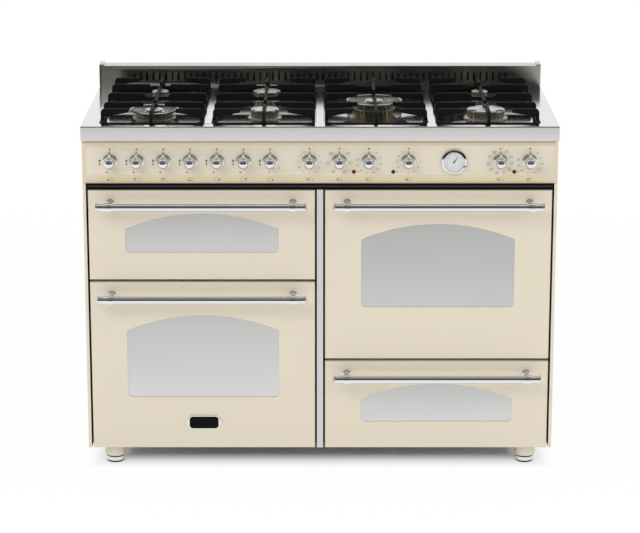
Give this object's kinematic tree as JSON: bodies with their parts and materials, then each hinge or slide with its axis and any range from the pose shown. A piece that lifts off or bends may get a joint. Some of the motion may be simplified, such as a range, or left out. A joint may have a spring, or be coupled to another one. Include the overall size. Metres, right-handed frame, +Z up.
{
  "type": "range cooker",
  "caption": "Free-standing enamelled range cooker with a gas hob, knobs, a clock, drop-down oven doors with arched windows and a storage compartment.",
  "frame": {"origin": "on the floor, in the middle of the overall box, handles included", "axes": "+X to the cooker's right seen from the front, +Y to its back, +Z up"},
  "size_m": [1.2, 0.651, 0.959],
  "materials": {
    "cream_enamel": "gloss vitreous enamel",
    "stainless": "satin",
    "galvanised_steel": "satin",
    "chrome": "polished",
    "chrome_wire": "plated wire",
    "oven_enamel": "gloss dark enamel",
    "oven_glass": "reflective tempered glass",
    "cast_iron": "black enamelled casting",
    "burner_aluminium": "cast, machined",
    "burner_cap_steel": "polished",
    "brass": "machined",
    "element_steel": "heat darkened",
    "mineral_wool": "felted",
    "black_plastic": "moulded",
    "black_paint": "matt",
    "lamp_lens": "clear moulded",
    "foot_finish": "enamel over a dark pad"
  },
  "bodies": {
    "body": {"chassis": "galvanised_steel", "side_panels": "cream_enamel", "hob_top": "stainless", "backsplash": "stainless", "control_panel": "cream_enamel", "feet": "foot_finish", "oven_liners": "oven_enamel", "storage_liner": "oven_enamel", "oven_insulation": "mineral_wool", "heating_elements": "element_steel", "hinge_brackets": "galvanised_steel", "knob_bezels": "chrome", "indicator_lamps": "lamp_lens", "clock_case": "chrome", "gas_train": "brass", "electrical_parts": "black_plastic", "burner_bodies": "burner_aluminium"},
    "door_upper_left": {"door_upper_left_panel": "cream_enamel", "door_upper_left_glass": "oven_glass", "door_upper_left_inner": "oven_enamel", "door_upper_left_handle": "chrome"},
    "rack_upper_left": {"rack_upper_left": "chrome_wire"},
    "door_lower_left": {"door_lower_left_panel": "cream_enamel", "door_lower_left_glass": "oven_glass", "door_lower_left_inner": "oven_enamel", "door_lower_left_handle": "chrome"},
    "rack_lower_left": {"rack_lower_left": "chrome_wire"},
    "door_upper_right": {"door_upper_right_panel": "cream_enamel", "door_upper_right_glass": "oven_glass", "door_upper_right_inner": "oven_enamel", "door_upper_right_handle": "chrome"},
    "rack_upper_right": {"rack_upper_right": "chrome_wire"},
    "door_lower_right": {"door_lower_right_panel": "cream_enamel", "door_lower_right_glass": "oven_glass", "door_lower_right_inner": "oven_enamel", "door_lower_right_handle": "chrome"},
    "knob_01": {"knob_01": "chrome"},
    "knob_02": {"knob_02": "chrome"},
    "knob_03": {"knob_03": "chrome"},
    "knob_04": {"knob_04": "chrome"},
    "knob_05": {"knob_05": "chrome"},
    "knob_06": {"knob_06": "chrome"},
    "knob_07": {"knob_07": "chrome"},
    "knob_08": {"knob_08": "chrome"},
    "knob_09": {"knob_09": "chrome"},
    "knob_10": {"knob_10": "chrome"},
    "knob_11": {"knob_11": "chrome"},
    "knob_12": {"knob_12": "chrome"},
    "knob_13": {"knob_13": "chrome"},
    "clock_stem": {"clock_set_knob": "chrome"},
    "clock_hand": {"clock_hand": "black_paint"},
    "fan": {"oven_fan": "element_steel"},
    "support_1": {"pan_support_1": "cast_iron"},
    "caps_1": {"burner_caps_1": "burner_cap_steel"},
    "support_2": {"pan_support_2": "cast_iron"},
    "caps_2": {"burner_caps_2": "burner_cap_steel"},
    "support_3": {"pan_support_3": "cast_iron"},
    "caps_3": {"burner_caps_3": "burner_cap_steel"},
    "support_4": {"pan_support_4": "cast_iron"},
    "caps_4": {"burner_caps_4": "burner_cap_steel"}
  },
  "joints": [
    {"name": "door_upper_left_hinge", "type": "hinge", "parent": "body", "child": "door_upper_left", "pos_m": [-0.299, -0.2525, 0.5085], "axis": [1, 0, 0], "range_deg": [0, 90], "stiffness_Nm_per_rad": 2, "springref_deg": -34.38},
    {"name": "rack_upper_left_slide", "type": "slide", "parent": "body", "child": "rack_upper_left", "axis": [0, -1, 0], "range_m": [0, 0.1415]},
    {"name": "door_lower_left_hinge", "type": "hinge", "parent": "body", "child": "door_lower_left", "pos_m": [-0.299, -0.2525, 0.058], "axis": [1, 0, 0], "range_deg": [0, 85], "stiffness_Nm_per_rad": 6, "springref_deg": -17.19},
    {"name": "rack_lower_left_slide", "type": "slide", "parent": "body", "child": "rack_lower_left", "axis": [0, -1, 0], "range_m": [0, 0.1782]},
    {"name": "door_upper_right_hinge", "type": "hinge", "parent": "body", "child": "door_upper_right", "pos_m": [0.299, -0.2525, 0.2985], "axis": [1, 0, 0], "range_deg": [0, 90], "stiffness_Nm_per_rad": 6, "springref_deg": -17.19},
    {"name": "rack_upper_right_slide", "type": "slide", "parent": "body", "child": "rack_upper_right", "axis": [0, -1, 0], "range_m": [0, 0.1886]},
    {"name": "door_lower_right_hinge", "type": "hinge", "parent": "body", "child": "door_lower_right", "pos_m": [0.299, -0.2525, 0.058], "axis": [1, 0, 0], "range_deg": [0, 80], "stiffness_Nm_per_rad": 2, "springref_deg": -34.38},
    {"name": "knob_01_turn", "type": "hinge", "parent": "body", "child": "knob_01", "pos_m": [-0.527, -0.2685, 0.809], "axis": [0, -1, 0], "range_deg": [0, 160]},
    {"name": "knob_02_turn", "type": "hinge", "parent": "body", "child": "knob_02", "pos_m": [-0.46, -0.2685, 0.809], "axis": [0, -1, 0], "range_deg": [0, 160]},
    {"name": "knob_03_turn", "type": "hinge", "parent": "body", "child": "knob_03", "pos_m": [-0.393, -0.2685, 0.809], "axis": [0, -1, 0], "range_deg": [0, 160]},
    {"name": "knob_04_turn", "type": "hinge", "parent": "body", "child": "knob_04", "pos_m": [-0.326, -0.2685, 0.809], "axis": [0, -1, 0], "range_deg": [0, 160]},
    {"name": "knob_05_turn", "type": "hinge", "parent": "body", "child": "knob_05", "pos_m": [-0.259, -0.2685, 0.809], "axis": [0, -1, 0], "range_deg": [0, 160]},
    {"name": "knob_06_turn", "type": "hinge", "parent": "body", "child": "knob_06", "pos_m": [-0.192, -0.2685, 0.809], "axis": [0, -1, 0], "range_deg": [0, 160]},
    {"name": "knob_07_turn", "type": "hinge", "parent": "body", "child": "knob_07", "pos_m": [-0.125, -0.2685, 0.809], "axis": [0, -1, 0], "range_deg": [0, 235]},
    {"name": "knob_08_turn", "type": "hinge", "parent": "body", "child": "knob_08", "pos_m": [-0.0265, -0.2685, 0.809], "axis": [0, -1, 0], "range_deg": [-330, 0]},
    {"name": "knob_09_turn", "type": "hinge", "parent": "body", "child": "knob_09", "pos_m": [0.0485, -0.2685, 0.809], "axis": [0, -1, 0], "range_deg": [-315, 0]},
    {"name": "knob_10_turn", "type": "hinge", "parent": "body", "child": "knob_10", "pos_m": [0.1225, -0.2685, 0.809], "axis": [0, -1, 0], "range_deg": [-280, 0]},
    {"name": "knob_11_turn", "type": "hinge", "parent": "body", "child": "knob_11", "pos_m": [0.222, -0.2685, 0.809], "axis": [0, -1, 0], "range_deg": [-330, 0]},
    {"name": "knob_12_turn", "type": "hinge", "parent": "body", "child": "knob_12", "pos_m": [0.4525, -0.2685, 0.809], "axis": [0, -1, 0], "range_deg": [-330, 0]},
    {"name": "knob_13_turn", "type": "hinge", "parent": "body", "child": "knob_13", "pos_m": [0.5265, -0.2685, 0.809], "axis": [0, -1, 0], "range_deg": [-280, 0]},
    {"name": "clock_stem_turn", "type": "hinge", "parent": "body", "child": "clock_stem", "pos_m": [0.3645, -0.2685, 0.795], "axis": [0, 1, 0], "continuous": true},
    {"name": "clock_hand_turn", "type": "hinge", "parent": "body", "child": "clock_hand", "pos_m": [0.3365, -0.2685, 0.809], "axis": [0, 1, 0], "continuous": true},
    {"name": "fan_spin", "type": "hinge", "parent": "body", "child": "fan", "pos_m": [0.299, 0.209, 0.535], "axis": [0, -1, 0], "continuous": true},
    {"name": "support_1_lift", "type": "slide", "parent": "body", "child": "support_1", "axis": [0, 0, 1], "range_m": [0, 0.2]},
    {"name": "caps_1_lift", "type": "slide", "parent": "body", "child": "caps_1", "axis": [0, 0, 1], "range_m": [0, 0.06]},
    {"name": "support_2_lift", "type": "slide", "parent": "body", "child": "support_2", "axis": [0, 0, 1], "range_m": [0, 0.2]},
    {"name": "caps_2_lift", "type": "slide", "parent": "body", "child": "caps_2", "axis": [0, 0, 1], "range_m": [0, 0.06]},
    {"name": "support_3_lift", "type": "slide", "parent": "body", "child": "support_3", "axis": [0, 0, 1], "range_m": [0, 0.2]},
    {"name": "caps_3_lift", "type": "slide", "parent": "body", "child": "caps_3", "axis": [0, 0, 1], "range_m": [0, 0.06]},
    {"name": "support_4_lift", "type": "slide", "parent": "body", "child": "support_4", "axis": [0, 0, 1], "range_m": [0, 0.2]},
    {"name": "caps_4_lift", "type": "slide", "parent": "body", "child": "caps_4", "axis": [0, 0, 1], "range_m": [0, 0.06]}
  ],
  "couplings": [
    {"joint": "rack_upper_left_slide", "follows": "door_upper_left_hinge", "m_per_rad": 0.09},
    {"joint": "rack_lower_left_slide", "follows": "door_lower_left_hinge", "m_per_rad": 0.12},
    {"joint": "rack_upper_right_slide", "follows": "door_upper_right_hinge", "m_per_rad": 0.12},
    {"joint": "clock_hand_turn", "follows": "clock_stem_turn", "ratio": -0.25},
    {"joint": "caps_1_lift", "follows": "support_1_lift", "ratio": 0.3},
    {"joint": "caps_2_lift", "follows": "support_2_lift", "ratio": 0.3},
    {"joint": "caps_3_lift", "follows": "support_3_lift", "ratio": 0.3},
    {"joint": "caps_4_lift", "follows": "support_4_lift", "ratio": 0.3}
  ]
}
